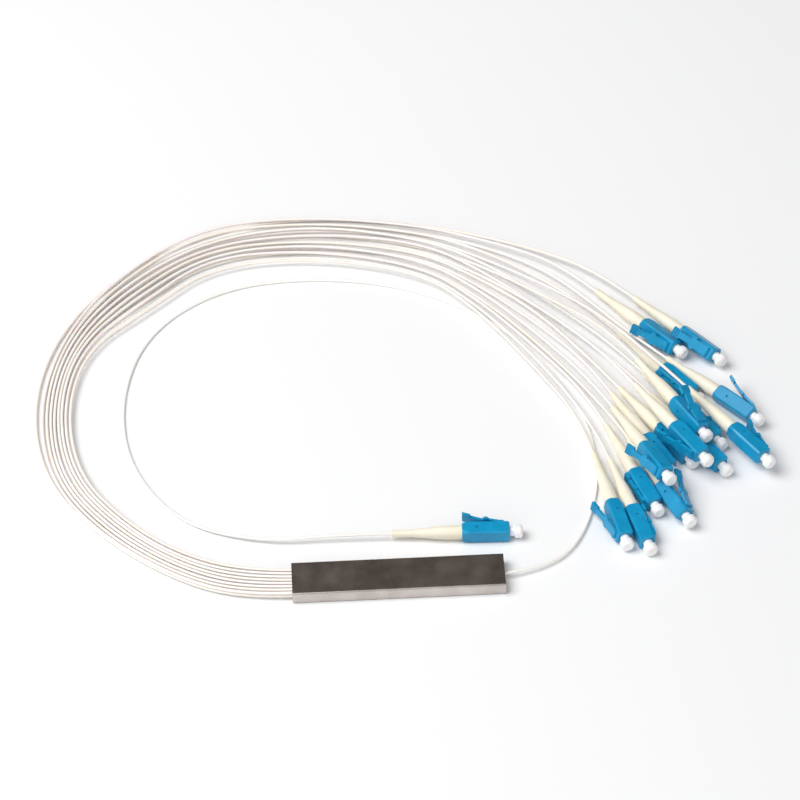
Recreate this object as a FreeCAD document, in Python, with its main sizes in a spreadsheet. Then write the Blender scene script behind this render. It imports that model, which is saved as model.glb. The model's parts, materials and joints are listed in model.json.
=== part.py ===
import FreeCAD, Part
import math
import os

# Planar-waveguide fibre splitter, 1 input to 16 outputs, with plugs on all its tails.
# Millimetres.  Origin: centre of the steel tube's underside.  +X runs to the input
# end, +Z is up from the surface that everything lies on.

doc = FreeCAD.newDocument("fibre_splitter")
V = FreeCAD.Vector

# ---------------------------------------------------------------- driving sizes
sizes = doc.addObject("Spreadsheet::Sheet", "sizes")
DRIVING = [
    ("tube_length", 60.0),          # steel tube, outside
    ("tube_width", 12.0),
    ("tube_height", 4.0),
    ("tube_wall", 0.35),
    ("tube_corner", 0.5),           # outside radius of its long edges
    ("seal_depth", 4.0),            # epoxy plug in each open end
    ("seal_recess", 0.3),           # how far it sits inside the end
    ("seal_gap", 0.02),             # clearance of a filling piece to the tube's wall
    ("chip_length", 16.0),          # waveguide chip
    ("chip_width", 4.0),
    ("chip_height", 1.0),
    ("lid_height", 1.0),            # glass lid of the chip and of the fibre blocks
    ("input_block_length", 6.0),
    ("output_block_length", 8.0),
    ("glue_line", 0.02),            # between the chip and each fibre block
    ("bare_diameter", 0.22),        # coated fibre inside the tube
    ("ribbon_pitch", 0.25),
    ("cord_diameter", 0.9),         # loose tube on every tail
    ("cord_gap", 0.02),             # between a tail's end and the seal
    ("lane_pitch", 1.2),            # output tails side by side at the end seal
    ("layer_low", 1.4),             # height of the two layers of tails at the seal
    ("layer_high", 2.6),
    ("housing_length", 13.6),       # plug housing behind its nose
    ("housing_width", 4.6),
    ("housing_chamfer", 0.45),
    ("housing_rear_diameter", 5.1), # its corners are turned down to this at the rear
    ("housing_blend", 3.2),         # length over which the round rear turns square
    ("nose_chamfer", 0.35),
    ("nose_bore", 3.1),
    ("nose_depth", 3.5),
    ("rear_bore_depth", 1.0),
    ("window_size", 0.7),           # crimp window in both sides
    ("window_depth", 0.4),
    ("window_place", 4.2),          # from the rear end
    ("lever_root", 1.4),            # latch lever, from the nose back
    ("lever_root_length", 1.2),
    ("lever_thickness", 0.8),
    ("lever_width", 3.0),
    ("lever_tail_width", 1.9),
    ("lever_root_gap", 0.15),       # start of the slot under the lever
    ("lever_bend", 6.0),            # where the lever bends, from the rear end
    ("lever_end", 0.2),             # its free end, from the rear end
    ("lever_bend_rise", 1.2),       # rise of a free lever at its bend
    ("lever_end_rise", 3.3),        # and at its free end
    ("pressed_bend_rise", 0.1),     # the same two for a lever held down
    ("pressed_end_rise", 0.2),
    ("thumb_length", 2.4),          # thumb pad at the free end
    ("thumb_rib", 0.25),            # height and width of the ribs across it
    ("thumb_rib_pitch", 0.7),
    ("catch_width", 4.0),
    ("catch_place", 0.5),           # ears, from the bend forward
    ("catch_length", 1.1),
    ("boot_length", 20.0),
    ("boot_tip_diameter", 2.0),
    ("boot_neck_diameter", 2.3),    # slim neck, then a flare to the shoulder
    ("boot_neck_place", 14.0),      # both places from the housing back
    ("boot_shoulder_diameter", 3.6),
    ("boot_shoulder_place", 8.0),
    ("boot_diameter", 4.1),
    ("boot_flare", 2.0),            # parallel part behind the housing
    ("boot_crown", 0.7),            # share of the last rise taken half-way
    ("boot_fit", 0.05),
    ("ferrule_diameter", 1.25),
    ("ferrule_reach", 2.0),         # how far the ferrule stands out of the nose
    ("ferrule_flange", 2.2),
    ("ferrule_flange_length", 0.6),
    ("ferrule_bevel", 0.1),
    ("cap_neck_diameter", 2.8),
    ("cap_neck_inside", 2.4),
    ("cap_neck_outside", 1.1),
    ("cap_flare", 0.6),             # cone from the neck to the head
    ("cap_head_diameter", 4.0),
    ("cap_head_length", 1.4),
    ("cap_head_bevel", 0.6),        # cone down to the end face
    ("cap_end_diameter", 3.0),
    ("cap_bore_fit", 0.05),
]
for row, (alias, value) in enumerate(DRIVING, start=1):
    sizes.set(f"A{row}", alias)
    sizes.set(f"B{row}", str(value))
    sizes.setAlias(f"B{row}", alias)
doc.recompute()


def size(alias):
    """A driving size, read back from the sheet."""
    return float(sizes.get(alias))


# ---------------------------------------------------------------- tails and plugs
# Each tail: the free points of its route, from the end seal to the tip of its boot.
# The last run lies on the plug's axis, so it aims the plug as well.
# roll turns the plug about its axis: 0 has the latch on top, 90 on its right.
INPUT_ROUTE = [
    (42.0, 2.0, 1.4), (53.0, 12.0, 0.8), (60.0, 33.0, 0.5), (60.0, 56.0, 0.5),
    (51.0, 80.0, 0.5), (35.0, 103.0, 0.5), (10.0, 119.5, 0.5), (-20.0, 125.5, 0.5),
    (-49.0, 122.0, 0.5), (-71.0, 104.0, 0.5), (-79.0, 76.0, 0.5), (-76.0, 48.0, 0.5),
    (-61.0, 25.0, 0.8), (-38.0, 16.5, 1.4), (-17.5, 17.0, 2.4), (-1.0, 16.5, 2.4),
]
TAILS = [
    # name, lane from the outside, upper layer, roll, latch pressed, free points
    ("output_01", 0, False, 48, False, [
        (-44.0, -3.9, 1.2), (-62.0, 3.5, 0.9), (-83.5, 20.5, 0.9), (-100.0, 42.6, 0.9),
        (-105.4, 72.0, 0.9), (-99.8, 101.8, 0.9), (-83.0, 126.5, 0.9), (-53.9, 147.2, 0.9),
        (-20.0, 152.5, 0.9), (14.0, 147.0, 0.9), (36.0, 138.8, 1.6), (55.0, 129.0, 2.4),
        (68.2, 119.0, 3.1), (77.8, 107.4, 3.1)]),
    ("output_02", 0, True, 65, False, [
        (-44.0, -3.9, 2.3), (-62.0, 4.1, 2.0), (-82.8, 21.2, 2.0), (-98.5, 43.0, 2.0),
        (-103.4, 72.0, 2.0), (-97.7, 100.9, 2.0), (-82.0, 125.5, 2.0), (-54.0, 148.0, 2.0),
        (-20.0, 151.5, 2.0), (14.0, 145.5, 2.0), (33.0, 137.5, 2.2), (46.5, 130.5, 2.8),
        (56.9, 123.0, 3.0), (66.5, 111.4, 3.0)]),
    ("output_03", 1, False, -68, False, [
        (-44.0, -2.6, 1.2), (-62.0, 4.8, 0.9), (-82.2, 21.7, 0.9), (-97.7, 43.2, 0.9),
        (-102.6, 72.0, 0.9), (-97.2, 100.7, 0.9), (-81.5, 124.9, 0.9), (-53.4, 144.5, 0.9),
        (-20.0, 150.5, 0.9), (14.0, 143.5, 0.9), (35.0, 134.5, 1.4), (52.0, 122.5, 2.4),
        (64.6, 107.0, 2.7), (74.9, 92.5, 2.9), (84.9, 81.3, 2.9)]),
    ("output_04", 1, True, 90, True, [
        (-44.0, -2.6, 2.3), (-62.0, 5.4, 2.0), (-81.9, 21.9, 2.0), (-97.2, 43.3, 2.0),
        (-102.1, 72.0, 2.0), (-96.7, 100.5, 2.0), (-80.6, 124.1, 2.0), (-53.6, 145.6, 2.0),
        (-20.0, 148.9, 2.0), (14.0, 142.5, 2.0), (34.0, 132.0, 2.2), (50.0, 119.0, 2.4),
        (62.9, 106.0, 2.4), (71.6, 93.8, 2.4)]),
    ("output_05", 2, False, -100, False, [
        (-44.0, -1.3, 1.2), (-62.0, 6.2, 0.9), (-81.3, 22.4, 0.9), (-96.8, 43.5, 0.9),
        (-101.5, 72.0, 0.9), (-96.2, 100.2, 0.9), (-79.8, 123.2, 0.9), (-53.1, 142.9, 0.9),
        (-20.0, 147.1, 0.9), (14.0, 141.5, 0.9), (34.0, 129.5, 1.2), (51.0, 114.5, 3.8),
        (66.5, 97.5, 6.7), (80.6, 77.7, 6.9), (89.1, 65.3, 6.35)]),
    ("output_06", 2, True, -90, True, [
        (-44.0, -1.3, 2.3), (-62.0, 6.7, 2.0), (-80.9, 22.8, 2.0), (-96.2, 43.6, 2.0),
        (-100.9, 72.0, 2.0), (-95.7, 100.0, 2.0), (-79.3, 122.6, 2.0), (-52.9, 141.7, 2.0),
        (-20.0, 147.7, 2.0), (14.0, 139.5, 2.0), (33.0, 127.5, 2.2), (53.0, 107.5, 2.4),
        (69.4, 88.9, 2.4), (77.5, 76.2, 2.4)]),
    ("output_07", 3, False, -22, False, [
        (-44.0, 0.0, 1.2), (-62.0, 7.4, 0.9), (-80.5, 23.2, 0.9), (-95.7, 43.7, 0.9),
        (-100.5, 72.0, 0.9), (-95.2, 99.8, 0.9), (-78.5, 121.8, 0.9), (-52.6, 140.3, 0.9),
        (-20.0, 145.7, 0.9), (14.0, 137.5, 0.9), (33.0, 125.5, 2.0), (51.0, 107.0, 5.6),
        (68.2, 89.6, 8.1), (75.2, 76.3, 8.0)]),
    ("output_08", 3, True, 90, True, [
        (-44.0, 0.0, 2.3), (-62.0, 8.3, 2.0), (-80.1, 23.6, 2.0), (-95.2, 43.9, 2.0),
        (-99.8, 72.0, 2.0), (-94.4, 99.5, 2.0), (-77.7, 121.0, 2.0), (-52.5, 139.5, 2.0),
        (-20.0, 143.9, 2.0), (14.0, 137.9, 2.0), (32.5, 123.5, 2.2), (52.0, 102.5, 2.4),
        (71.4, 79.5, 2.4), (79.0, 66.5, 2.4)]),
    ("output_09", 4, False, 88, False, [
        (-44.0, 1.3, 1.2), (-62.0, 8.9, 0.9), (-79.7, 23.9, 0.9), (-94.7, 44.0, 0.9),
        (-99.4, 72.0, 0.9), (-93.9, 99.3, 0.9), (-77.0, 120.3, 0.9), (-52.3, 138.8, 0.9),
        (-20.0, 142.5, 0.9), (14.0, 135.0, 0.9), (32.5, 121.5, 2.0), (50.0, 100.9, 6.0),
        (66.1, 78.7, 8.5), (73.4, 65.7, 8.4)]),
    ("output_10", 4, True, 0, True, [
        (-44.0, 1.3, 2.3), (-62.0, 9.5, 2.0), (-79.1, 24.4, 2.0), (-93.8, 44.2, 2.0),
        (-98.7, 72.0, 2.0), (-93.4, 99.1, 2.0), (-75.9, 119.2, 2.0), (-52.2, 137.9, 2.0),
        (-20.0, 140.9, 2.0), (14.0, 133.5, 2.0), (32.0, 119.5, 2.2), (47.6, 104.5, 2.4),
        (61.95, 83.2, 2.4), (69.55, 70.3, 2.4)]),
    ("output_11", 5, False, 90, True, [
        (-44.0, 2.6, 1.2), (-62.0, 10.1, 0.9), (-78.8, 24.7, 0.9), (-93.7, 44.3, 0.9),
        (-98.2, 72.0, 0.9), (-92.9, 98.9, 0.9), (-75.2, 118.4, 0.9), (-52.0, 137.2, 0.9),
        (-20.0, 139.5, 0.9), (14.0, 132.3, 0.9), (32.0, 117.0, 1.4), (48.0, 98.5, 2.4),
        (61.1, 81.5, 2.4), (67.2, 67.8, 2.4)]),
    ("output_12", 5, True, 70, False, [
        (-44.0, 2.6, 2.3), (-62.0, 10.9, 2.0), (-78.2, 25.2, 2.0), (-92.8, 44.5, 2.0),
        (-97.7, 72.0, 2.0), (-92.5, 98.7, 2.0), (-74.4, 117.6, 2.0), (-51.7, 135.6, 2.0),
        (-20.0, 139.3, 2.0), (14.0, 130.3, 2.0), (31.0, 115.0, 2.2), (46.0, 96.0, 2.8),
        (61.3, 74.1, 2.7), (66.6, 60.2, 4.6)]),
    ("output_13", 6, False, -50, False, [
        (-44.0, 3.9, 1.2), (-62.0, 11.6, 0.9), (-78.0, 25.4, 0.9), (-92.5, 44.6, 0.9),
        (-97.1, 72.0, 0.9), (-91.9, 98.5, 0.9), (-73.6, 116.7, 0.9), (-51.5, 134.2, 0.9),
        (-20.0, 137.9, 0.9), (14.0, 128.5, 0.9), (31.0, 112.5, 1.4), (47.0, 91.0, 2.4),
        (64.2, 62.8, 3.0), (70.1, 48.9, 3.0)]),
    ("output_14", 6, True, 90, True, [
        (-44.0, 3.9, 2.3), (-62.0, 12.1, 2.0), (-77.4, 25.9, 2.0), (-91.7, 44.8, 2.0),
        (-96.5, 72.0, 2.0), (-91.1, 98.1, 2.0), (-72.3, 115.4, 2.0), (-51.5, 134.2, 2.0),
        (-20.0, 136.3, 2.0), (14.0, 127.1, 2.0), (30.5, 110.5, 2.2), (45.5, 90.0, 2.4),
        (59.3, 69.2, 2.4), (64.1, 55.0, 2.4)]),
    ("output_15", 7, False, -90, True, [
        (-44.0, 5.2, 1.2), (-62.0, 13.1, 0.9), (-77.1, 26.1, 0.9), (-91.1, 44.9, 0.9),
        (-96.0, 72.0, 0.9), (-90.2, 97.8, 0.9), (-71.2, 114.3, 0.9), (-51.1, 131.9, 0.9),
        (-20.0, 135.1, 0.9), (14.0, 125.5, 1.3), (30.5, 108.0, 2.0), (47.0, 83.0, 2.4),
        (60.4, 55.9, 2.4), (63.8, 41.4, 2.4)]),
    ("output_16", 7, True, 80, False, [
        (-44.0, 5.2, 2.3), (-62.0, 13.7, 2.0), (-76.5, 26.7, 2.0), (-90.4, 45.1, 2.0),
        (-95.2, 72.0, 2.0), (-89.5, 97.5, 2.0), (-69.8, 112.8, 2.0), (-50.7, 129.7, 2.0),
        (-20.0, 132.9, 2.0), (14.0, 123.5, 2.5), (30.0, 105.5, 2.8), (45.0, 81.0, 2.6),
        (56.7, 58.7, 2.6), (59.3, 43.9, 2.6)]),
]
LANES = 8


def lane_start(lane, upper):
    """Where an output tail leaves the end seal."""
    x = size("seal_recess") - size("cord_gap") - size("tube_length") / 2
    y = (lane - (LANES - 1) / 2) * size("lane_pitch")
    return (x, y, size("layer_high") if upper else size("layer_low"))


input_start = V(size("tube_length") / 2 - size("seal_recess") + size("cord_gap"), 0, size("tube_height") / 2)
ROUTES = {"input": [input_start] + [V(*p) for p in INPUT_ROUTE]}
ROLLS = {"input": -90}
PRESSED = {"input": False}
for name, lane, upper, roll, pressed, points in TAILS:
    ROUTES[name] = [V(*lane_start(lane, upper))] + [V(*p) for p in points]
    ROLLS[name] = roll
    PRESSED[name] = pressed


def plug_placement(name):
    """Frame of a plug: its rear centre, +X out of the nose, +Z towards the latch."""
    route = ROUTES[name]
    forward = (route[-1] - route[-2]).normalize()
    left = V(0, 0, 1).cross(forward).normalize()
    up = forward.cross(left)
    upright = FreeCAD.Rotation(forward, left, up, "XZY")
    turn = FreeCAD.Rotation(V(1, 0, 0), ROLLS[name])
    return FreeCAD.Placement(route[-1] + forward * size("boot_length"), upright * turn)


# ---------------------------------------------------------------- small helpers
def origin_plane(body, role):
    """One of the body's own origin planes."""
    return next(f for f in body.Origin.OriginFeatures if f.Role == role)


def new_body(label):
    body = doc.addObject("PartDesign::Body", label)
    body.Label = label
    return body


def new_sketch(body, role, name, offset=None):
    """A sketch on one of the body's origin planes; offset is a text expression."""
    sketch = body.newObject("Sketcher::SketchObject", name)
    sketch.AttachmentSupport = [(origin_plane(body, role), "")]
    sketch.MapMode = "FlatFace"
    if offset:
        sketch.setExpression("AttachmentOffset.Base.z", offset)
    return sketch


def add_line(sketch, start, end):
    return sketch.addGeometry(Part.LineSegment(V(*start, 0), V(*end, 0)), False)


def closed_profile(sketch, corners):
    """A closed outline of straight lines through the corners."""
    for start, end in zip(corners, corners[1:] + corners[:1]):
        add_line(sketch, start, end)


def chamfered_square(sketch, width, chamfer):
    """A square with cut corners about the sketch's origin."""
    half = width / 2
    flat = half - chamfer
    closed_profile(sketch, [(half, -flat), (half, flat), (flat, half), (-flat, half),
                            (-half, flat), (-half, -flat), (-flat, -half), (flat, -half)])


def revolution(body, sketch, name):
    """The sketch turned once about its own X axis."""
    feature = body.newObject("PartDesign::Revolution", name)
    feature.Profile = sketch
    feature.ReferenceAxis = (sketch, ["H_Axis"])
    feature.Angle = 360
    return feature


def pad(body, sketch, name, length, both_sides=False):
    """Material along the sketch's normal; length is a text expression."""
    feature = body.newObject("PartDesign::Pad", name)
    feature.Profile = sketch
    feature.setExpression("Length", length)
    if both_sides:
        feature.SideType = "Symmetric"
    return feature


def pocket(body, sketch, name, length, backwards=False):
    """A blind cut against the sketch's normal, or along it when backwards."""
    feature = body.newObject("PartDesign::Pocket", name)
    feature.Profile = sketch
    feature.setExpression("Length", length)
    feature.Reversed = backwards
    return feature


# ---------------------------------------------------------------- the module
def rounded_box(sketch, width, height, radius, centre_z):
    """A rectangle with rounded corners, in a sketch of the YZ plane."""
    half_y, half_z = width / 2 - radius, height / 2 - radius
    middle = math.sqrt(0.5) * radius
    corners = [(1, 1), (-1, 1), (-1, -1), (1, -1)]
    for i, (sy, sz) in enumerate(corners):
        ny, nz = corners[(i + 1) % 4]
        flat = (sy * half_y, centre_z + sz * half_z)
        side = (flat[0] + sy * radius, flat[1])
        cap = (flat[0], flat[1] + sz * radius)
        bend = (flat[0] + sy * middle, flat[1] + sz * middle)
        first, last = (side, cap) if sy * sz > 0 else (cap, side)
        sketch.addGeometry(Part.Arc(V(*first, 0), V(*bend, 0), V(*last, 0)), False)
        next_flat = (ny * half_y, centre_z + nz * half_z)
        if ny != sy:
            add_line(sketch, cap, (next_flat[0], next_flat[1] + nz * radius))
        else:
            add_line(sketch, side, (next_flat[0] + ny * radius, next_flat[1]))


def make_steel_tube():
    body = new_body("steel_tube")
    sketch = new_sketch(body, "YZ_Plane", "tube_section", "-sizes.tube_length / 2")
    width, height, wall = size("tube_width"), size("tube_height"), size("tube_wall")
    corner = size("tube_corner")
    rounded_box(sketch, width, height, corner, height / 2)
    rounded_box(sketch, width - 2 * wall, height - 2 * wall, max(corner - wall, wall / 4), height / 2)
    pad(body, sketch, "tube_pad", "sizes.tube_length")
    return body


def make_seal(label, start):
    """Epoxy that fills an open end of the tube; start is a text expression."""
    body = new_body(label)
    sketch = new_sketch(body, "YZ_Plane", label + "_section", start)
    gap, wall = size("seal_gap"), size("tube_wall")
    width = size("tube_width") - 2 * (wall + gap)
    height = size("tube_height") - 2 * (wall + gap)
    radius = max(size("tube_corner") - wall, wall / 4)
    rounded_box(sketch, width, height, radius, size("tube_height") / 2)
    pad(body, sketch, label + "_pad", "sizes.seal_depth")
    return body


def make_glass(label, start, length):
    """A stepped glass block: a base and its narrower lid.  start and length are text."""
    body = new_body(label)
    middle = size("tube_height") / 2
    half = size("chip_width") / 2
    base, lid = size("chip_height"), size("lid_height")
    step = half / 4
    sketch = new_sketch(body, "YZ_Plane", label + "_section", start)
    closed_profile(sketch, [
        (-half, middle - base), (half, middle - base), (half, middle), (half - step, middle),
        (half - step, middle + lid), (step - half, middle + lid), (step - half, middle), (-half, middle)])
    pad(body, sketch, label + "_pad", length)
    return body


def circle_wire(centre, radius):
    return Part.Wire(Part.Circle(centre, V(1, 0, 0), radius).toShape())


def make_bare_fibres():
    """One coated fibre to the input end, sixteen fanning out to the tails' lanes."""
    radius = size("bare_diameter") / 2
    middle = size("tube_height") / 2
    seal_inside = size("tube_length") / 2 - size("seal_recess") - size("seal_depth")
    block = size("chip_length") / 2 + size("glue_line")
    near, far = block + size("input_block_length"), seal_inside
    ends = [(V(near, 0, middle), V(far, 0, middle))]
    near = -block - size("output_block_length")
    for number, (name, lane, upper, roll, pressed, points) in enumerate(TAILS):
        offset = (number - (len(TAILS) - 1) / 2) * size("ribbon_pitch")
        start = lane_start(lane, upper)
        ends.append((V(near, offset, middle), V(-seal_inside, start[1], start[2])))
    fibres = [Part.makeLoft([circle_wire(a, radius), circle_wire(b, radius)], True, True) for a, b in ends]
    node = doc.addObject("Part::Feature", "bare_fibres")
    node.Label = "bare_fibres"
    node.Shape = Part.makeCompound(fibres)
    return node


# ---------------------------------------------------------------- the plugs
def lever_heights(pressed):
    """Top of the latch lever at its bend and at its free end, from the plug's axis."""
    top = size("housing_width") / 2 + size("lever_thickness")
    if pressed:
        return top + size("pressed_bend_rise"), top + size("pressed_end_rise")
    return top + size("lever_bend_rise"), top + size("lever_end_rise")


def add_lever(body, pressed):
    """Latch lever: rooted behind the nose, catch ears before its bend, thumb pad at its end."""
    half, thick = size("housing_width") / 2, size("lever_thickness")
    front = size("housing_length") - size("lever_root")
    back = front - size("lever_root_length")
    bend, end = size("lever_bend"), size("lever_end")
    bend_top, end_top = lever_heights(pressed)
    sunk = half - size("housing_chamfer") / 2

    def top_at(x):
        """Height of the lever's upper face, between its root and its free end."""
        if x >= bend:
            return bend_top + (half + thick - bend_top) * (x - bend) / (back - bend)
        return end_top + (bend_top - end_top) * (x - end) / (bend - end)

    def strip(name, x_front, x_back, width, lower=0.0):
        sketch = new_sketch(body, "XZ_Plane", name)
        closed_profile(sketch, [
            (x_front, top_at(x_front) - thick - lower), (x_front, top_at(x_front)),
            (x_back, top_at(x_back)), (x_back, top_at(x_back) - thick - lower)])
        pad(body, sketch, name + "_pad", width, both_sides=True)

    root = new_sketch(body, "XZ_Plane", "lever_root")
    closed_profile(root, [
        (front, sunk), (front, half + thick / 2), (front - thick / 2, half + thick),
        (back, half + thick), (bend, bend_top), (bend, bend_top - thick),
        (back, half + size("lever_root_gap")), (back, sunk)])
    pad(body, root, "lever_front", "sizes.lever_width", both_sides=True)
    strip("lever_tail", bend, end, "sizes.lever_tail_width")
    strip("thumb_pad", end + size("thumb_length"), end, "sizes.lever_width")
    rib, pitch = size("thumb_rib"), size("thumb_rib_pitch")
    for number in range(3):
        x = end + rib + number * pitch
        ribs = new_sketch(body, "XZ_Plane", f"thumb_rib_{number}")
        closed_profile(ribs, [(x + rib, top_at(x + rib) - rib), (x + rib, top_at(x + rib) + rib / 2),
                              (x, top_at(x) + rib), (x, top_at(x) - rib)])
        pad(body, ribs, f"thumb_rib_pad_{number}", "sizes.lever_width", both_sides=True)
    catch = bend + size("catch_place")
    strip("catch_ears", catch + size("catch_length"), catch, "sizes.catch_width")


def round_rear_corners(body):
    """Turns the square housing's rear corners down to a cone."""
    across = size("housing_width") / math.sqrt(2)
    rear = size("housing_rear_diameter") / 2
    sketch = new_sketch(body, "XY_Plane", "rear_cone")
    closed_profile(sketch, [(0, rear), (size("housing_blend"), across), (0, across)])
    groove = body.newObject("PartDesign::Groove", "rear_turning")
    groove.Profile = sketch
    groove.ReferenceAxis = (sketch, ["H_Axis"])
    groove.Angle = 360


def make_housing(label, pressed):
    """Plug housing: round rear, square front, bored nose, crimp windows, latch lever."""
    body = new_body(label)
    section = new_sketch(body, "YZ_Plane", "housing_section")
    chamfered_square(section, size("housing_width"), size("housing_chamfer"))
    pad(body, section, "housing_pad", "sizes.housing_length - sizes.nose_chamfer")
    front = new_sketch(body, "YZ_Plane", "housing_front", "sizes.housing_length - sizes.nose_chamfer")
    chamfered_square(front, size("housing_width"), size("housing_chamfer"))
    nose_end = new_sketch(body, "YZ_Plane", "housing_nose", "sizes.housing_length")
    chamfered_square(nose_end, size("housing_width") - 2 * size("nose_chamfer"), size("housing_chamfer"))
    taper = body.newObject("PartDesign::AdditiveLoft", "nose_taper")
    taper.Profile = front
    taper.Sections = [nose_end]
    taper.Ruled = True
    round_rear_corners(body)
    add_lever(body, pressed)
    nose = new_sketch(body, "YZ_Plane", "nose_circle", "sizes.housing_length")
    nose.addGeometry(Part.Circle(V(0, 0, 0), V(0, 0, 1), size("nose_bore") / 2), False)
    pocket(body, nose, "nose_pocket", "sizes.nose_depth")
    seat = new_sketch(body, "YZ_Plane", "boot_circle")
    seat.addGeometry(Part.Circle(V(0, 0, 0), V(0, 0, 1), size("boot_diameter") / 2 + size("boot_fit")), False)
    pocket(body, seat, "boot_pocket", "sizes.rear_bore_depth", backwards=True)
    for side, offset, backwards in (("right", "sizes.housing_width / 2", False),
                                    ("left", "-sizes.housing_width / 2", True)):
        window = new_sketch(body, "XZ_Plane", "window_" + side, offset)
        reach = size("window_size") / 2
        place = size("window_place")
        closed_profile(window, [(place - reach, -reach), (place + reach, -reach),
                                (place + reach, reach), (place - reach, reach)])
        pocket(body, window, "window_pocket_" + side, "sizes.window_depth", backwards)
    return body


def turned_body(label, edges):
    """A solid turned about its X axis from the edges of its half section."""
    body = new_body(label)
    sketch = new_sketch(body, "XY_Plane", label + "_section")
    for edge in edges:
        sketch.addGeometry(edge, False)
    revolution(body, sketch, label + "_turn")
    return body


def polyline(corners):
    return [Part.LineSegment(V(*a, 0), V(*b, 0)) for a, b in zip(corners, corners[1:])]


def make_boot():
    """Bend relief: a slim tip that flares to the seat in the housing's rear."""
    tip, seat = size("boot_tip_diameter") / 2, size("boot_diameter") / 2
    length, flare = size("boot_length"), size("boot_flare")
    inside = size("rear_bore_depth") - size("boot_fit")
    neck_x, neck = -size("boot_neck_place"), size("boot_neck_diameter") / 2
    shoulder_x, shoulder = -size("boot_shoulder_place"), size("boot_shoulder_diameter") / 2
    edges = polyline([(inside, 0), (-length, 0), (-length, tip)])
    edges.append(Part.Arc(V(-length, tip, 0), V(neck_x, neck, 0), V(shoulder_x, shoulder, 0)))
    crown = (shoulder_x - flare) / 2
    bulge = shoulder + (seat - shoulder) * size("boot_crown")
    edges.append(Part.Arc(V(shoulder_x, shoulder, 0), V(crown, bulge, 0), V(-flare, seat, 0)))
    edges += polyline([(-flare, seat), (inside, seat), (inside, 0)])
    return turned_body("boot_master", edges)


def make_ferrule():
    radius, flange = size("ferrule_diameter") / 2, size("ferrule_flange") / 2
    base = size("housing_length") - size("nose_depth")
    tip = size("housing_length") + size("ferrule_reach")
    step = base + size("ferrule_flange_length")
    bevel = size("ferrule_bevel")
    corners = [(base, 0), (base, flange), (step, flange), (step, radius), (tip - bevel, radius),
               (tip, radius - bevel), (tip, 0), (base, 0)]
    return turned_body("ferrule_master", polyline(corners))


def make_cap():
    """Dust cap: a neck inside the nose and over the ferrule, and a wider head outside."""
    neck, head = size("cap_neck_diameter") / 2, size("cap_head_diameter") / 2
    bore = size("ferrule_diameter") / 2 + size("cap_bore_fit")
    start = size("housing_length") - size("cap_neck_inside")
    shoulder = size("housing_length") + size("cap_neck_outside")
    flare = shoulder + size("cap_flare")
    bevel = flare + size("cap_head_length")
    end = bevel + size("cap_head_bevel")
    bottom = size("housing_length") + size("ferrule_reach") + size("cap_bore_fit")
    edges = polyline([(bottom, 0), (bottom, bore), (start, bore), (start, neck), (shoulder, neck),
                      (flare, head), (bevel, head), (end, size("cap_end_diameter") / 2), (end, 0),
                      (bottom, 0)])
    return turned_body("cap_master", edges)


# ---------------------------------------------------------------- the tails
def tube_path(points):
    """Straight runs joined by tangent arcs; also the smallest arc radius."""
    edges, radii = [], []
    last = points[0]
    for before, at, after in zip(points, points[1:], points[2:]):
        back, onward = (before - at), (after - at)
        turn = math.pi - back.getAngle(onward)
        setback = 0.45 * min(back.Length, onward.Length)
        radius = setback / math.tan(turn / 2)
        back.normalize()
        onward.normalize()
        first, end = at + back * setback, at + onward * setback
        inward = (back + onward).normalize()
        centre = at + inward * (radius / math.cos(turn / 2))
        edges.append(Part.LineSegment(last, first).toShape())
        edges.append(Part.Arc(first, centre - inward * radius, end).toShape())
        radii.append(radius)
        last = end
    edges.append(Part.LineSegment(last, points[-1]).toShape())
    return Part.Wire(edges), radii


def make_cord(label, points):
    radius = size("cord_diameter") / 2
    path, radii = tube_path(points)
    section = Part.Wire(Part.Circle(points[0], points[1] - points[0], radius).toShape())
    solid = path.makePipeShell([section], True, False)
    expected = math.pi * radius ** 2 * path.Length
    if abs(solid.Volume - expected) > expected / 1000:
        raise ValueError(f"{label}: volume {solid.Volume:.3f}, section times length {expected:.3f}")
    print(f"{label}: length {path.Length:.1f}, arc radii {min(radii):.1f} to {max(radii):.1f}")
    node = doc.addObject("Part::Feature", label)
    node.Label = label
    node.Shape = solid
    return node


def placed(label, master, placement):
    """A copy of a master body, in its own place."""
    copy = doc.addObject("Part::Compound", label)
    copy.Label = label
    copy.Links = [master]
    copy.Placement = placement
    return copy


def group(label, members):
    node = doc.addObject("Part::Compound", label)
    node.Label = label
    node.Links = members
    return node


# ---------------------------------------------------------------- the assembly
nodes = [
    make_steel_tube(),
    make_seal("input_end_seal", "sizes.tube_length / 2 - sizes.seal_recess - sizes.seal_depth"),
    make_seal("output_end_seal", "sizes.seal_recess - sizes.tube_length / 2"),
    make_glass("waveguide_chip", "-sizes.chip_length / 2", "sizes.chip_length"),
    make_glass("input_fibre_block", "sizes.chip_length / 2 + sizes.glue_line", "sizes.input_block_length"),
    make_glass("output_fibre_block",
               "-sizes.chip_length / 2 - sizes.glue_line - sizes.output_block_length",
               "sizes.output_block_length"),
    make_bare_fibres(),
]
free_housing = make_housing("housing_master", False)
pressed_housing = make_housing("housing_pressed_master", True)
boot, ferrule, cap = make_boot(), make_ferrule(), make_cap()
doc.recompute()

boots, ferrules = [], []
for name, route in ROUTES.items():
    place = plug_placement(name)
    housing = pressed_housing if PRESSED[name] else free_housing
    nodes.append(make_cord("cord_" + name, route))
    nodes.append(placed("plug_" + name, housing, place))
    nodes.append(placed("dust_cap_" + name, cap, place))
    boots.append(placed("boot_" + name, boot, place))
    ferrules.append(placed("ferrule_" + name, ferrule, place))
nodes.append(group("plug_boots", boots))
nodes.append(group("plug_ferrules", ferrules))
doc.recompute()

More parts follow.
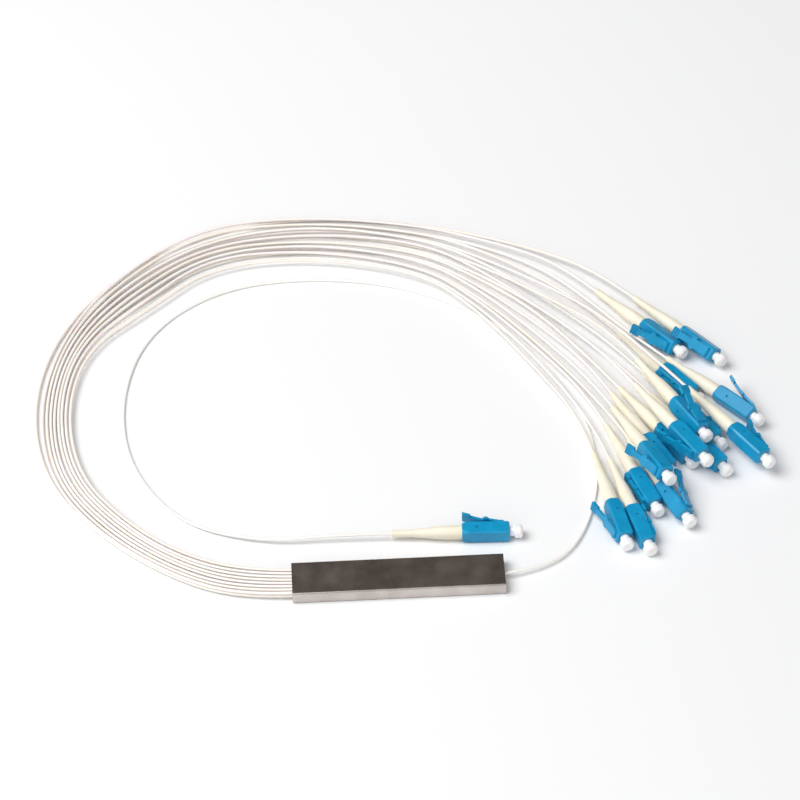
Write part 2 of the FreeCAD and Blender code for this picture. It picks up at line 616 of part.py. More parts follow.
# ---------------------------------------------------------------- checks, then files
for item in doc.Objects:
    if "Invalid" in item.State or "Error" in item.State:
        raise RuntimeError(f"{item.Label}: {item.State}")
for node in nodes:
    if node.Shape.isNull() or not node.Shape.isValid():
        raise RuntimeError(f"{node.Label}: no valid shape")

os.makedirs("parts", exist_ok=True)
for node in nodes:
    solids = node.Shape.Solids
    shape = solids[0] if len(solids) == 1 else node.Shape
    shape.exportStep(f"parts/{node.Label}.step")
print(f"{len(nodes)} nodes written")
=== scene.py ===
# %% [markdown]
# # A fibre splitter with sixteen plugged tails
# The real object is a flat steel tube with a glass chip sealed inside. One thin tail
# brings light in, and sixteen thin tails carry it out. Each tail ends in a blue latched
# plug with a cream boot and a white dust cap. This lesson gives them finishes, lays the
# tails as smooth curves, adds the small pips that show in the plugs, and lights the
# scene.

# %% Load the frame
import json
import math

import bpy
from mathutils import Matrix, Vector


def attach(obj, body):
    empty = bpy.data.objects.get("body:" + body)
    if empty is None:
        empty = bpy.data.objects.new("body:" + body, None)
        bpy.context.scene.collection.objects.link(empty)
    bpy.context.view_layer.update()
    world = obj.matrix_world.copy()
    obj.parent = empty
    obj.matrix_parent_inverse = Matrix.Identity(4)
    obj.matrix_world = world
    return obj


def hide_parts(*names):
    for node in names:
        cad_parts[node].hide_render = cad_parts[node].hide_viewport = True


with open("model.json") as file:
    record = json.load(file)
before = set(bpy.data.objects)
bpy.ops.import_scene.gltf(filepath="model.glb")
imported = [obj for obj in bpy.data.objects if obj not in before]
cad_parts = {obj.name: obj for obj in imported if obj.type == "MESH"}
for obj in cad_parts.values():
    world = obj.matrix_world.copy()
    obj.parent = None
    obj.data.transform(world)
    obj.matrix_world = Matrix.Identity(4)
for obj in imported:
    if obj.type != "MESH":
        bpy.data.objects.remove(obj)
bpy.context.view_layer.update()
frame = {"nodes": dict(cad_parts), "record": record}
nodes = frame["nodes"]

# %% [markdown]
# ## The camera
# A long lens far away keeps the small plugs and the tube in nearly the same scale.
# A camera could be aimed with a tracking constraint, but that leaves it level, and this
# view has a slight roll. So its matrix is built from three directions, which shows
# plainly which way right, up and back point.

# %% Camera
LOOK_AT = Vector((0.004223, 0.071796, 0.0))
CAMERA_DISTANCE = 0.99573
AZIMUTH, ELEVATION, ROLL = math.radians(-2.53), math.radians(45.842), math.radians(-0.674)
LENS_MM, SENSOR_MM = 150.75, 36.0
NEAREST, FARTHEST = 0.05, 20.0

back = Vector((math.sin(AZIMUTH) * math.cos(ELEVATION),
               -math.cos(AZIMUTH) * math.cos(ELEVATION), math.sin(ELEVATION)))
level_right = Vector((math.cos(AZIMUTH), math.sin(AZIMUTH), 0.0))
level_up = back.cross(level_right)
right = math.cos(ROLL) * level_right + math.sin(ROLL) * level_up
up = math.cos(ROLL) * level_up - math.sin(ROLL) * level_right

camera_data = bpy.data.cameras.new("camera")
camera_data.sensor_width = SENSOR_MM
camera_data.lens = LENS_MM
camera_data.clip_start, camera_data.clip_end = NEAREST, FARTHEST
camera = bpy.data.objects.new("camera", camera_data)
bpy.context.scene.collection.objects.link(camera)
turned = Matrix((right, up, back)).transposed().to_4x4()
camera.matrix_world = Matrix.Translation(LOOK_AT + back * CAMERA_DISTANCE) @ turned
bpy.context.scene.camera = camera
print("camera at", [round(v, 3) for v in camera.location])

# %% [markdown]
# ## Helpers for procedural finishes
# A finish could be one flat colour, but a real surface varies a little in colour and
# gloss. Every finish here is made of shader nodes: noise drives its colour, roughness
# and a fine bump. The noise is read in the object's own coordinates, so nothing has to
# be unwrapped. The steps that the finishes share are helpers, and each finish below
# then reads as a short recipe.

# %% A new finish, and noise for it
def new_finish(name, roughness=0.5, **sockets):
    """A material whose main shader has the given constant sockets."""
    material = bpy.data.materials.new(name)
    material.use_nodes = True
    shader = material.node_tree.nodes["Principled BSDF"]
    shader.inputs["Roughness"].default_value = roughness
    for socket, value in sockets.items():
        shader.inputs[socket.replace("_", " ")].default_value = value
    return material, material.node_tree, shader


def add_noise(tree, scale, detail, stretch=(1.0, 1.0, 1.0)):
    """Noise in the object's own coordinates; a small stretch draws it out along an axis."""
    coordinates = tree.nodes.new("ShaderNodeTexCoord")
    mapping = tree.nodes.new("ShaderNodeMapping")
    mapping.inputs["Scale"].default_value = stretch
    noise = tree.nodes.new("ShaderNodeTexNoise")
    noise.inputs["Scale"].default_value = scale
    noise.inputs["Detail"].default_value = detail
    tree.links.new(coordinates.outputs["Object"], mapping.inputs["Vector"])
    tree.links.new(mapping.outputs["Vector"], noise.inputs["Vector"])
    return noise.outputs["Fac"]


print("helpers: a new finish, noise")


# %% Colour, gloss and bump from a pattern
def add_ramp(tree, fac, *stops):
    """Colours along a value: each stop is (position, (r, g, b))."""
    ramp = tree.nodes.new("ShaderNodeValToRGB")
    elements = ramp.color_ramp.elements
    while len(elements) < len(stops):
        elements.new(0.5)
    for element, (position, colour) in zip(elements, stops):
        element.position = position
        element.color = (*colour, 1.0)
    tree.links.new(fac, ramp.inputs["Fac"])
    return ramp.outputs["Color"]


def paint(tree, shader, pattern, dark, light, dark_below=0.3, light_above=0.7):
    """Lets a pattern mix the finish's colour from a dark and a light one."""
    colour = add_ramp(tree, pattern, (dark_below, dark), (light_above, light))
    tree.links.new(colour, shader.inputs["Base Color"])


def vary_roughness(tree, shader, pattern, smoothest, roughest):
    """Lets a pattern change how sharply the finish reflects."""
    spread = tree.nodes.new("ShaderNodeMapRange")
    spread.inputs["To Min"].default_value = smoothest
    spread.inputs["To Max"].default_value = roughest
    tree.links.new(pattern, spread.inputs["Value"])
    tree.links.new(spread.outputs["Result"], shader.inputs["Roughness"])


def add_bump(tree, shader, pattern, distance, strength):
    """Lets a pattern raise the surface by a distance in metres."""
    bump = tree.nodes.new("ShaderNodeBump")
    bump.inputs["Distance"].default_value = distance
    bump.inputs["Strength"].default_value = strength
    tree.links.new(pattern, bump.inputs["Height"])
    tree.links.new(bump.outputs["Normal"], shader.inputs["Normal"])


print("helpers: colour ramp, paint, roughness, bump")

# %% [markdown]
# ## The steel tube
# The real tube is drawn stainless steel: warm grey, satin, with long faint marks from
# the die, and slightly mottled where it was handled. A scratch picture laid over it
# would do this too, but needs a file. Two noises do it without: one drawn out along the
# tube for the die marks, and a broad one that changes colour and gloss.

# %% Steel tube finish
FINISHES = {}


def drawn_steel():
    material, tree, shader = new_finish("drawn_steel", Metallic=1.0)
    marks = add_noise(tree, scale=900.0, detail=4.0, stretch=(0.03, 1.0, 1.0))
    mottle = add_noise(tree, scale=140.0, detail=5.0)
    paint(tree, shader, mottle, dark=(0.49, 0.44, 0.41), light=(0.60, 0.55, 0.52),
          dark_below=0.32, light_above=0.68)
    vary_roughness(tree, shader, mottle, smoothest=0.20, roughest=0.36)
    add_bump(tree, shader, marks, distance=0.00001, strength=0.4)
    return material


FINISHES["steel_tube"] = drawn_steel()
print("finish:", FINISHES["steel_tube"].name)

# %% [markdown]
# ## Seals, glass and fibres
# Clear epoxy closes both ends of the tube and grips the tails. Inside sit the chip and
# the two fibre blocks, which are polished glass, and the bare coated fibres.
# The closed tube hides the glass and the fibres, so one plain colour would be enough.
# Each still gets its own finish, for a reader who lifts the tube off.

# %% Epoxy, glass and coated fibre
def cured_epoxy():
    material, tree, shader = new_finish("cured_epoxy", roughness=0.22, Coat_Weight=0.4)
    cloud = add_noise(tree, scale=420.0, detail=4.0)
    paint(tree, shader, cloud, dark=(0.60, 0.58, 0.53), light=(0.80, 0.78, 0.73))
    add_bump(tree, shader, cloud, distance=0.0001, strength=0.6)
    return material


def polished_glass():
    material, tree, shader = new_finish("polished_glass", roughness=0.05,
                                        Transmission_Weight=0.7, IOR=1.46)
    cloud = add_noise(tree, scale=300.0, detail=2.0)
    paint(tree, shader, cloud, dark=(0.82, 0.86, 0.86), light=(0.92, 0.95, 0.95))
    return material


def coated_fibre():
    material, tree, shader = new_finish("coated_fibre", roughness=0.3)
    tint = add_noise(tree, scale=200.0, detail=2.0)
    paint(tree, shader, tint, dark=(0.80, 0.78, 0.66), light=(0.90, 0.88, 0.80))
    return material


FINISHES.update(epoxy=cured_epoxy(), chip_glass=polished_glass(), fibre=coated_fibre())
print("finishes so far:", len(FINISHES))

# %% [markdown]
# ## The blue housings
# The housings are moulded in a deep blue with a soft gloss. Such a plastic could be a
# single blue, but then its flat faces look like paper. A broad noise shifts the blue
# slightly, as the melt does when it fills the mould, and a very fine one gives the
# faint orange-peel skin. A thin clear coat sharpens the shine a little.

# %% Blue moulding
def blue_moulding():
    material, tree, shader = new_finish("blue_moulding", Coat_Weight=0.1,
                                        Coat_Roughness=0.15, IOR=1.42)
    flow = add_noise(tree, scale=260.0, detail=4.0)
    skin = add_noise(tree, scale=3200.0, detail=2.0)
    paint(tree, shader, flow, dark=(0.003, 0.25, 0.48), light=(0.005, 0.33, 0.595),
          dark_below=0.25, light_above=0.75)
    vary_roughness(tree, shader, flow, smoothest=0.28, roughest=0.42)
    add_bump(tree, shader, skin, distance=0.00002, strength=0.35)
    return material


FINISHES["plug_housing"] = blue_moulding()
print("finish:", FINISHES["plug_housing"].name)

# %% [markdown]
# ## Boots, caps and ferrules
# The boots are a soft cream plastic, nearly matte. The dust caps are milky white.
# Both let some light in below their surface. Glass-like transmission would show that
# too, but it is slow and noisy on such small parts, so subsurface light is used.
# The ferrule is ground zirconia: hard, white and very smooth.

# %% Cream boot
def cream_boot():
    material, tree, shader = new_finish("cream_boot", Subsurface_Weight=0.15,
                                        Subsurface_Scale=0.001)
    flow = add_noise(tree, scale=180.0, detail=3.0)
    skin = add_noise(tree, scale=2600.0, detail=2.0)
    paint(tree, shader, flow, dark=(0.86, 0.80, 0.63), light=(0.92, 0.87, 0.73))
    vary_roughness(tree, shader, flow, smoothest=0.48, roughest=0.62)
    add_bump(tree, shader, skin, distance=0.00002, strength=0.4)
    return material


FINISHES["boot"] = cream_boot()
print("finish:", FINISHES["boot"].name)


# %% Milky cap and ground ceramic
def milky_cap():
    material, tree, shader = new_finish("milky_cap", Subsurface_Weight=0.35,
                                        Subsurface_Scale=0.0015, Coat_Weight=0.2,
                                        Coat_Roughness=0.25)
    cloud = add_noise(tree, scale=240.0, detail=3.0)
    paint(tree, shader, cloud, dark=(0.89, 0.89, 0.89), light=(0.95, 0.95, 0.94))
    vary_roughness(tree, shader, cloud, smoothest=0.30, roughest=0.45)
    return material


def ground_ceramic():
    material, tree, shader = new_finish("ground_ceramic", roughness=0.12)
    grain = add_noise(tree, scale=1500.0, detail=2.0)
    paint(tree, shader, grain, dark=(0.86, 0.86, 0.84), light=(0.94, 0.94, 0.92))
    return material


FINISHES.update(dust_cap=milky_cap(), ferrule=ground_ceramic())
print("finishes so far:", len(FINISHES))

# %% [markdown]
# ## The tails' loose tube
# A tail is a 0.9 mm loose tube of milky plastic. One white for all of them would look
# printed, because tails from different reels are never quite the same white. So
# neutral, warm and pinkish tints are made, and the tails take them in turn.

# %% Loose tube in three tints
def loose_tube(name, dark, light):
    material, tree, shader = new_finish(name, Subsurface_Weight=0.1,
                                        Subsurface_Scale=0.0008, Coat_Weight=0.3,
                                        Coat_Roughness=0.2)
    tint = add_noise(tree, scale=90.0, detail=3.0)
    paint(tree, shader, tint, dark, light)
    vary_roughness(tree, shader, tint, smoothest=0.28, roughest=0.42)
    return material


TUBE_TINTS = [
    loose_tube("loose_tube_neutral", (0.94, 0.90, 0.84), (0.97, 0.94, 0.90)),
    loose_tube("loose_tube_warm", (0.94, 0.86, 0.76), (0.97, 0.91, 0.84)),
    loose_tube("loose_tube_pink", (0.94, 0.84, 0.81), (0.97, 0.90, 0.88)),
]
FINISHES["tail_tube"] = TUBE_TINTS[0]
print("tube tints:", [tint.name for tint in TUBE_TINTS])

# %% [markdown]
# ## Dress the solids
# Each solid could be given its finish by name, but the record already says which
# finish every node has, as a material slot. So the finishes go on by slot.

# %% Assign finishes by slot
for entry in frame["record"]["subparts"]:
    for slot in nodes[entry["node"]].material_slots:
        slot.material = FINISHES[entry["material_slot"]]
print("dressed", len(nodes), "nodes")

# %% [markdown]
# ## The tails
# A tail is a fixed length of springy tube that lies in one wide curve. It could be a
# mesh swept along a line, but a curve with a round section stays smooth, and its few
# points are easy to move. The points below say where each tail runs, from the end of
# the steel tube to the tip of its boot, and a NURBS spline follows them smoothly.

# %% Route of the input tail, in metres
ROUTES = {
    "input": [
        (0.02972, 0, 0.002), (0.042, 0.002, 0.0014), (0.053, 0.012, 0.0008),
        (0.06, 0.033, 0.0005), (0.06, 0.056, 0.0005), (0.051, 0.08, 0.0005),
        (0.035, 0.103, 0.0005), (0.01, 0.1195, 0.0005), (-0.02, 0.1255, 0.0005),
        (-0.049, 0.122, 0.0005), (-0.071, 0.104, 0.0005), (-0.079, 0.076, 0.0005),
        (-0.076, 0.048, 0.0005), (-0.061, 0.025, 0.0008), (-0.038, 0.0165, 0.0014),
        (-0.0175, 0.017, 0.0024), (-0.001, 0.0165, 0.0024)],
}
print("input tail:", len(ROUTES["input"]), "points")

# %% Routes of output tails 1 to 8
ROUTES.update({
    "output_01": [
        (-0.02972, -0.0042, 0.0014), (-0.044, -0.0039, 0.0012), (-0.062, 0.0035, 0.0009),
        (-0.0835, 0.0205, 0.0009), (-0.1, 0.0426, 0.0009), (-0.1054, 0.072, 0.0009),
        (-0.0998, 0.1018, 0.0009), (-0.083, 0.1265, 0.0009), (-0.0539, 0.1472, 0.0009),
        (-0.02, 0.1525, 0.0009), (0.014, 0.147, 0.0009), (0.036, 0.1388, 0.0016),
        (0.055, 0.129, 0.0024), (0.0682, 0.119, 0.0031), (0.0778, 0.1074, 0.0031)],
    "output_02": [
        (-0.02972, -0.0042, 0.0026), (-0.044, -0.0039, 0.0023), (-0.062, 0.0041, 0.002),
        (-0.0828, 0.0212, 0.002), (-0.0985, 0.043, 0.002), (-0.1034, 0.072, 0.002),
        (-0.0977, 0.1009, 0.002), (-0.082, 0.1255, 0.002), (-0.054, 0.148, 0.002),
        (-0.02, 0.1515, 0.002), (0.014, 0.1455, 0.002), (0.033, 0.1375, 0.0022),
        (0.0465, 0.1305, 0.0028), (0.0569, 0.123, 0.003), (0.0665, 0.1114, 0.003)],
    "output_03": [
        (-0.02972, -0.003, 0.0014), (-0.044, -0.0026, 0.0012), (-0.062, 0.0048, 0.0009),
        (-0.0822, 0.0217, 0.0009), (-0.0977, 0.0432, 0.0009), (-0.1026, 0.072, 0.0009),
        (-0.0972, 0.1007, 0.0009), (-0.0815, 0.1249, 0.0009), (-0.0534, 0.1445, 0.0009),
        (-0.02, 0.1505, 0.0009), (0.014, 0.1435, 0.0009), (0.035, 0.1345, 0.0014),
        (0.052, 0.1225, 0.0024), (0.0646, 0.107, 0.0027), (0.0749, 0.0925, 0.0029),
        (0.0849, 0.0813, 0.0029)],
    "output_04": [
        (-0.02972, -0.003, 0.0026), (-0.044, -0.0026, 0.0023), (-0.062, 0.0054, 0.002),
        (-0.0819, 0.0219, 0.002), (-0.0972, 0.0433, 0.002), (-0.1021, 0.072, 0.002),
        (-0.0967, 0.1005, 0.002), (-0.0806, 0.1241, 0.002), (-0.0536, 0.1456, 0.002),
        (-0.02, 0.1489, 0.002), (0.014, 0.1425, 0.002), (0.034, 0.132, 0.0022),
        (0.05, 0.119, 0.0024), (0.0629, 0.106, 0.0024), (0.0716, 0.0938, 0.0024)],
    "output_05": [
        (-0.02972, -0.0018, 0.0014), (-0.044, -0.0013, 0.0012), (-0.062, 0.0062, 0.0009),
        (-0.0813, 0.0224, 0.0009), (-0.0968, 0.0435, 0.0009), (-0.1015, 0.072, 0.0009),
        (-0.0962, 0.1002, 0.0009), (-0.0798, 0.1232, 0.0009), (-0.0531, 0.1429, 0.0009),
        (-0.02, 0.1471, 0.0009), (0.014, 0.1415, 0.0009), (0.034, 0.1295, 0.0012),
        (0.051, 0.1145, 0.0038), (0.0665, 0.0975, 0.0067), (0.0806, 0.0777, 0.0069),
        (0.0891, 0.0653, 0.00635)],
    "output_06": [
        (-0.02972, -0.0018, 0.0026), (-0.044, -0.0013, 0.0023), (-0.062, 0.0067, 0.002),
        (-0.0809, 0.0228, 0.002), (-0.0962, 0.0436, 0.002), (-0.1009, 0.072, 0.002),
        (-0.0957, 0.1, 0.002), (-0.0793, 0.1226, 0.002), (-0.0529, 0.1417, 0.002),
        (-0.02, 0.1477, 0.002), (0.014, 0.1395, 0.002), (0.033, 0.1275, 0.0022),
        (0.053, 0.1075, 0.0024), (0.0694, 0.0889, 0.0024), (0.0775, 0.0762, 0.0024)],
    "output_07": [
        (-0.02972, -0.0006, 0.0014), (-0.044, 0, 0.0012), (-0.062, 0.0074, 0.0009),
        (-0.0805, 0.0232, 0.0009), (-0.0957, 0.0437, 0.0009), (-0.1005, 0.072, 0.0009),
        (-0.0952, 0.0998, 0.0009), (-0.0785, 0.1218, 0.0009), (-0.0526, 0.1403, 0.0009),
        (-0.02, 0.1457, 0.0009), (0.014, 0.1375, 0.0009), (0.033, 0.1255, 0.002),
        (0.051, 0.107, 0.0056), (0.0682, 0.0896, 0.0081), (0.0752, 0.0763, 0.008)],
    "output_08": [
        (-0.02972, -0.0006, 0.0026), (-0.044, 0, 0.0023), (-0.062, 0.0083, 0.002),
        (-0.0801, 0.0236, 0.002), (-0.0952, 0.0439, 0.002), (-0.0998, 0.072, 0.002),
        (-0.0944, 0.0995, 0.002), (-0.0777, 0.121, 0.002), (-0.0525, 0.1395, 0.002),
        (-0.02, 0.1439, 0.002), (0.014, 0.1379, 0.002), (0.0325, 0.1235, 0.0022),
        (0.052, 0.1025, 0.0024), (0.0714, 0.0795, 0.0024), (0.079, 0.0665, 0.0024)],
})
print("tails so far:", len(ROUTES))

# %% Routes of output tails 9 to 16
ROUTES.update({
    "output_09": [
        (-0.02972, 0.0006, 0.0014), (-0.044, 0.0013, 0.0012), (-0.062, 0.0089, 0.0009),
        (-0.0797, 0.0239, 0.0009), (-0.0947, 0.044, 0.0009), (-0.0994, 0.072, 0.0009),
        (-0.0939, 0.0993, 0.0009), (-0.077, 0.1203, 0.0009), (-0.0523, 0.1388, 0.0009),
        (-0.02, 0.1425, 0.0009), (0.014, 0.135, 0.0009), (0.0325, 0.1215, 0.002),
        (0.05, 0.1009, 0.006), (0.0661, 0.0787, 0.0085), (0.0734, 0.0657, 0.0084)],
    "output_10": [
        (-0.02972, 0.0006, 0.0026), (-0.044, 0.0013, 0.0023), (-0.062, 0.0095, 0.002),
        (-0.0791, 0.0244, 0.002), (-0.0938, 0.0442, 0.002), (-0.0987, 0.072, 0.002),
        (-0.0934, 0.0991, 0.002), (-0.0759, 0.1192, 0.002), (-0.0522, 0.1379, 0.002),
        (-0.02, 0.1409, 0.002), (0.014, 0.1335, 0.002), (0.032, 0.1195, 0.0022),
        (0.0476, 0.1045, 0.0024), (0.06195, 0.0832, 0.0024), (0.06955, 0.0703, 0.0024)],
    "output_11": [
        (-0.02972, 0.0018, 0.0014), (-0.044, 0.0026, 0.0012), (-0.062, 0.0101, 0.0009),
        (-0.0788, 0.0247, 0.0009), (-0.0937, 0.0443, 0.0009), (-0.0982, 0.072, 0.0009),
        (-0.0929, 0.0989, 0.0009), (-0.0752, 0.1184, 0.0009), (-0.052, 0.1372, 0.0009),
        (-0.02, 0.1395, 0.0009), (0.014, 0.1323, 0.0009), (0.032, 0.117, 0.0014),
        (0.048, 0.0985, 0.0024), (0.0611, 0.0815, 0.0024), (0.0672, 0.0678, 0.0024)],
    "output_12": [
        (-0.02972, 0.0018, 0.0026), (-0.044, 0.0026, 0.0023), (-0.062, 0.0109, 0.002),
        (-0.0782, 0.0252, 0.002), (-0.0928, 0.0445, 0.002), (-0.0977, 0.072, 0.002),
        (-0.0925, 0.0987, 0.002), (-0.0744, 0.1176, 0.002), (-0.0517, 0.1356, 0.002),
        (-0.02, 0.1393, 0.002), (0.014, 0.1303, 0.002), (0.031, 0.115, 0.0022),
        (0.046, 0.096, 0.0028), (0.0613, 0.0741, 0.0027), (0.0666, 0.0602, 0.0046)],
    "output_13": [
        (-0.02972, 0.003, 0.0014), (-0.044, 0.0039, 0.0012), (-0.062, 0.0116, 0.0009),
        (-0.078, 0.0254, 0.0009), (-0.0925, 0.0446, 0.0009), (-0.0971, 0.072, 0.0009),
        (-0.0919, 0.0985, 0.0009), (-0.0736, 0.1167, 0.0009), (-0.0515, 0.1342, 0.0009),
        (-0.02, 0.1379, 0.0009), (0.014, 0.1285, 0.0009), (0.031, 0.1125, 0.0014),
        (0.047, 0.091, 0.0024), (0.0642, 0.0628, 0.003), (0.0701, 0.0489, 0.003)],
    "output_14": [
        (-0.02972, 0.003, 0.0026), (-0.044, 0.0039, 0.0023), (-0.062, 0.0121, 0.002),
        (-0.0774, 0.0259, 0.002), (-0.0917, 0.0448, 0.002), (-0.0965, 0.072, 0.002),
        (-0.0911, 0.0981, 0.002), (-0.0723, 0.1154, 0.002), (-0.0515, 0.1342, 0.002),
        (-0.02, 0.1363, 0.002), (0.014, 0.1271, 0.002), (0.0305, 0.1105, 0.0022),
        (0.0455, 0.09, 0.0024), (0.0593, 0.0692, 0.0024), (0.0641, 0.055, 0.0024)],
    "output_15": [
        (-0.02972, 0.0042, 0.0014), (-0.044, 0.0052, 0.0012), (-0.062, 0.0131, 0.0009),
        (-0.0771, 0.0261, 0.0009), (-0.0911, 0.0449, 0.0009), (-0.096, 0.072, 0.0009),
        (-0.0902, 0.0978, 0.0009), (-0.0712, 0.1143, 0.0009), (-0.0511, 0.1319, 0.0009),
        (-0.02, 0.1351, 0.0009), (0.014, 0.1255, 0.0013), (0.0305, 0.108, 0.002),
        (0.047, 0.083, 0.0024), (0.0604, 0.0559, 0.0024), (0.0638, 0.0414, 0.0024)],
    "output_16": [
        (-0.02972, 0.0042, 0.0026), (-0.044, 0.0052, 0.0023), (-0.062, 0.0137, 0.002),
        (-0.0765, 0.0267, 0.002), (-0.0904, 0.0451, 0.002), (-0.0952, 0.072, 0.002),
        (-0.0895, 0.0975, 0.002), (-0.0698, 0.1128, 0.002), (-0.0507, 0.1297, 0.002),
        (-0.02, 0.1329, 0.002), (0.014, 0.1235, 0.0025), (0.03, 0.1055, 0.0028),
        (0.045, 0.081, 0.0026), (0.0567, 0.0587, 0.0026), (0.0593, 0.0439, 0.0026)],
})
print("tails:", len(ROUTES), "points:", sum(len(points) for points in ROUTES.values()))

# %% [markdown]
# ## Sway between the layers
# The tails lie in two layers. In a real loop a layer never follows the one under it
# exactly: it sways over it by part of a diameter and comes back. Noise could move the
# points, but two tails might then touch. So the points of the wide loop are pushed out
# from its middle, or pulled in, by a small amount given for each layer. The
# ends stay where the seal and the boots hold them.

# %% Let the layers sway
LOOP_MIDDLE = Vector((-0.020, 0.072, 0.0))
UPPER_LAYER_ABOVE = 0.002
FIRST_SWAYED = 2
# how far each point from there on moves outward, in metres
LOWER_SWAY = (0.0, -0.0003, -0.0002, -0.0003, -0.0006, -0.0002, 0.0001)
UPPER_SWAY = (0.0004, 0.0008, 0.0003, -0.0006, -0.0010, 0.0002, 0.0008)


def swayed(points, sway):
    """The points with those of the wide loop moved away from its middle."""
    moved = [Vector(point) for point in points]
    for point, push in zip(moved[FIRST_SWAYED:], sway):
        outward = point - LOOP_MIDDLE
        outward.z = 0.0
        point += outward.normalized() * push
    return moved


for name, points in ROUTES.items():
    if name != "input":
        upper = points[0][2] > UPPER_LAYER_ABOVE
        ROUTES[name] = swayed(points, UPPER_SWAY if upper else LOWER_SWAY)
print("upper layer sways by up to", max(map(abs, UPPER_SWAY)) * 1000, "mm")

# %% [markdown]
# ## Lay the tails as curves
# The bevel turns the thin line into a round tube, with its ends closed. The spline's
# order is set after its points, because set before, it falls back to straight runs.
# Each tail stands for one solid of the frame, so that solid is hidden, and its length
# is measured on the finished curve.

# %% One tail, and its length
TAIL_DIAMETER = 0.0009
SECTION_STEPS, STEPS_PER_POINT = 3, 8


def lay_tail(name, points, material):
    """One smooth round curve along the points."""
    curve = bpy.data.curves.new("tail_" + name, "CURVE")
    curve.dimensions = "3D"
    curve.bevel_depth = TAIL_DIAMETER / 2
    curve.bevel_resolution = SECTION_STEPS
    curve.use_fill_caps = True
    curve.resolution_u = STEPS_PER_POINT
    spline = curve.splines.new("NURBS")
    spline.points.add(len(points) - 1)
    for control, place in zip(spline.points, points):
        control.co = (*place, 1.0)
    spline.order_u = 3
    spline.use_endpoint_u = True
    tail = bpy.data.objects.new("tail_" + name, curve)
    bpy.context.scene.collection.objects.link(tail)
    curve.materials.append(material)
    return tail


def centre_line_length(tail):
    """Length of the curve's own line, read from the curve with no bevel."""
    bare = tail.copy()
    bare.data = tail.data.copy()
    bare.data.bevel_depth = 0.0
    line = bpy.data.meshes.new_from_object(bare)
    corners = [vertex.co for vertex in line.vertices]
    bpy.data.objects.remove(bare)
    return sum((corners[a] - corners[b]).length for a, b in (e.vertices for e in line.edges))


print("a tail is", TAIL_DIAMETER * 1000, "mm thick")

# %% Lay all the tails
for number, (name, points) in enumerate(ROUTES.items()):
    tail = lay_tail(name, points, TUBE_TINTS[number % len(TUBE_TINTS)])
    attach(tail, "splitter")
    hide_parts("cord_" + name)
    length = centre_line_length(tail)
    print(tail.name, f"{length * 1000:.0f} mm")

# %% [markdown]
# ## Locking pips
# Inside each housing sits a sleeve that snaps in with two round pips, and one shows in
# each crimp window as a small dot. A pip could be half of one of Blender's spheres, but
# writing its few rings out from sine and cosine gives a closed mesh with exactly the
# vertices that are needed. Each is smaller than a millimetre, so all share one mesh.
# A plug's frame follows from the last run of its tail and from how the plug is rolled.

# %% Where each plug sits
PLUG_ROLLS = {
    "input": -90, "output_01": 48, "output_02": 65, "output_03": -68, "output_04": 90,
    "output_05": -100, "output_06": -90, "output_07": -22, "output_08": 90,
    "output_09": 88, "output_10": 0, "output_11": 90, "output_12": 70, "output_13": -50,
    "output_14": 90, "output_15": -90, "output_16": 80,
}
BOOT_LENGTH = 0.020


def plug_frame(name):
    """The rear centre of a plug, with x out of its nose and z towards its latch."""
    before, tip = (Vector(point) for point in ROUTES[name][-2:])
    forward = (tip - before).normalized()
    left = Vector((0.0, 0.0, 1.0)).cross(forward).normalized()
    upright = Matrix((forward, left, forward.cross(left))).transposed()
    rolled = upright @ Matrix.Rotation(math.radians(PLUG_ROLLS[name]), 3, "X")
    return Matrix.Translation(tip + forward * BOOT_LENGTH) @ rolled.to_4x4()


print("plug frames:", len(PLUG_ROLLS))

# %% The shape of a pip
WINDOW_PLACE, WINDOW_FLOOR = 0.0042, 0.00188
PIP_RADIUS, PIP_HEIGHT, PIP_SIDES, PIP_RINGS = 0.00031, 0.00045, 12, 3


def pip_points():
    """Rings of a dome that stands out along y, and its top point."""
    points = []
    for ring in range(PIP_RINGS):
        rise = math.radians(90 * ring / PIP_RINGS)
        radius = PIP_RADIUS * math.cos(rise)
        for side in range(PIP_SIDES):
            turn = math.tau * side / PIP_SIDES
            points.append(Vector((WINDOW_PLACE + radius * math.cos(turn),
                                  WINDOW_FLOOR + PIP_HEIGHT * math.sin(rise),
                                  radius * math.sin(turn))))
    points.append(Vector((WINDOW_PLACE, WINDOW_FLOOR + PIP_HEIGHT, 0.0)))
    return points


def pip_faces(first):
    """Its floor, the bands between its rings, and the triangles round its top."""
    faces = [tuple(first + side for side in range(PIP_SIDES))]
    for ring in range(PIP_RINGS):
        low, high = first + ring * PIP_SIDES, first + (ring + 1) * PIP_SIDES
        for side in range(PIP_SIDES):
            after = (side + 1) % PIP_SIDES
            if ring < PIP_RINGS - 1:
                faces.append((low + side, high + side, high + after, low + after))
            else:
                faces.append((low + side, high, low + after))
    return faces


print("a pip has", len(pip_points()), "points and", len(pip_faces(0)), "faces")

# %% Set the pips in their windows
pip_vertices, pip_polygons = [], []
for name in PLUG_ROLLS:
    for half_turn in (0.0, math.pi):
        place = plug_frame(name) @ Matrix.Rotation(half_turn, 4, "X")
        pip_polygons += pip_faces(len(pip_vertices))
        pip_vertices += [place @ point for point in pip_points()]
pip_mesh = bpy.data.meshes.new("locking_pips")
pip_mesh.from_pydata(pip_vertices, [], pip_polygons)
for polygon in pip_mesh.polygons:
    polygon.use_smooth = True
pip_mesh.materials.append(FINISHES["plug_housing"])
pips = bpy.data.objects.new("locking_pips", pip_mesh)
bpy.context.scene.collection.objects.link(pips)
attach(pips, "splitter")
print("pips:", 2 * len(PLUG_ROLLS), "faces:", len(pip_polygons))

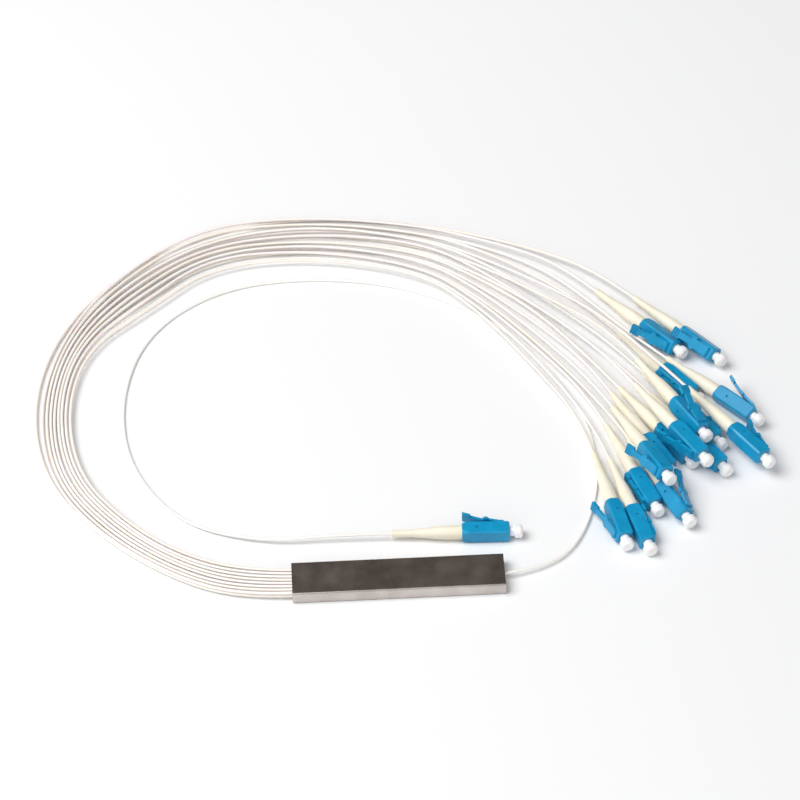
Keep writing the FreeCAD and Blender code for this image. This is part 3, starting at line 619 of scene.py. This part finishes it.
# %% [markdown]
# ## The floor
# The object lies on something pale and plain. A curved backdrop would hide the horizon,
# but the camera looks down so far that a flat floor fills its view. The floor sits a
# hair below zero, so that nothing that lies on it shares its plane.

# %% Floor
FLOOR_REACH, FLOOR_HEIGHT = 3.0, -0.00002
corners = [(FLOOR_REACH * x, FLOOR_REACH * y, FLOOR_HEIGHT)
           for x, y in ((-1, -1), (1, -1), (1, 1), (-1, 1))]
floor_mesh = bpy.data.meshes.new("floor")
floor_mesh.from_pydata(corners, [], [(0, 1, 2, 3)])
floor = bpy.data.objects.new("floor", floor_mesh)
bpy.context.scene.collection.objects.link(floor)
floor_material, floor_tree, floor_shader = new_finish("pale_floor", roughness=0.75)
paint(floor_tree, floor_shader, add_noise(floor_tree, scale=3.0, detail=2.0),
      dark=(0.89, 0.89, 0.89), light=(0.91, 0.91, 0.91))
floor_mesh.materials.append(floor_material)
print("floor", FLOOR_REACH * 2, "m across")

# %% [markdown]
# ## Lamps and world
# One bare lamp would give hard shadows between the tails. A large round one high on the
# left gives gentle shadows, and a wide weak one in front opens up the dark sides. The
# world lights the rest: it is pale in front and dark and warm towards the back, and
# that is what the top of the steel tube reflects.

# %% Lamps
def soft_lamp(name, place, size_m, watts):
    """A round lamp that faces the place the camera looks at."""
    lamp_data = bpy.data.lights.new(name, "AREA")
    lamp_data.shape = "DISK"
    lamp_data.size = size_m
    lamp_data.energy = watts
    lamp = bpy.data.objects.new(name, lamp_data)
    bpy.context.scene.collection.objects.link(lamp)
    lamp.location = place
    lamp.rotation_euler = (LOOK_AT - Vector(place)).to_track_quat("-Z", "Y").to_euler()
    return lamp


key = soft_lamp("key_lamp", place=(-0.62, 0.0, 1.08), size_m=1.0, watts=13.6)
front = soft_lamp("front_lamp", place=(-0.35, -0.9, 0.55), size_m=0.8, watts=0.8)
print("lamps:", key.name, front.name)

# %% World
PALE_FRONT, GREY_SIDES, DARK_BACK = (0.95, 0.97, 1.0), (0.66, 0.67, 0.69), (0.14, 0.115, 0.095)
SKY_STRENGTH = 0.62

world = bpy.data.worlds.new("studio")
world.use_nodes = True
sky_tree = world.node_tree
sky = sky_tree.nodes["Background"]
direction = sky_tree.nodes.new("ShaderNodeTexCoord")
axes = sky_tree.nodes.new("ShaderNodeSeparateXYZ")
sky_tree.links.new(direction.outputs["Generated"], axes.inputs["Vector"])
room = add_ramp(sky_tree, axes.outputs["Y"],
                (0.0, PALE_FRONT), (0.2, GREY_SIDES), (0.45, DARK_BACK))
sky_tree.links.new(room, sky.inputs["Color"])
sky.inputs["Strength"].default_value = SKY_STRENGTH
bpy.context.scene.world = world
bpy.context.scene.view_settings.view_transform = "Standard"
print("world strength:", SKY_STRENGTH)
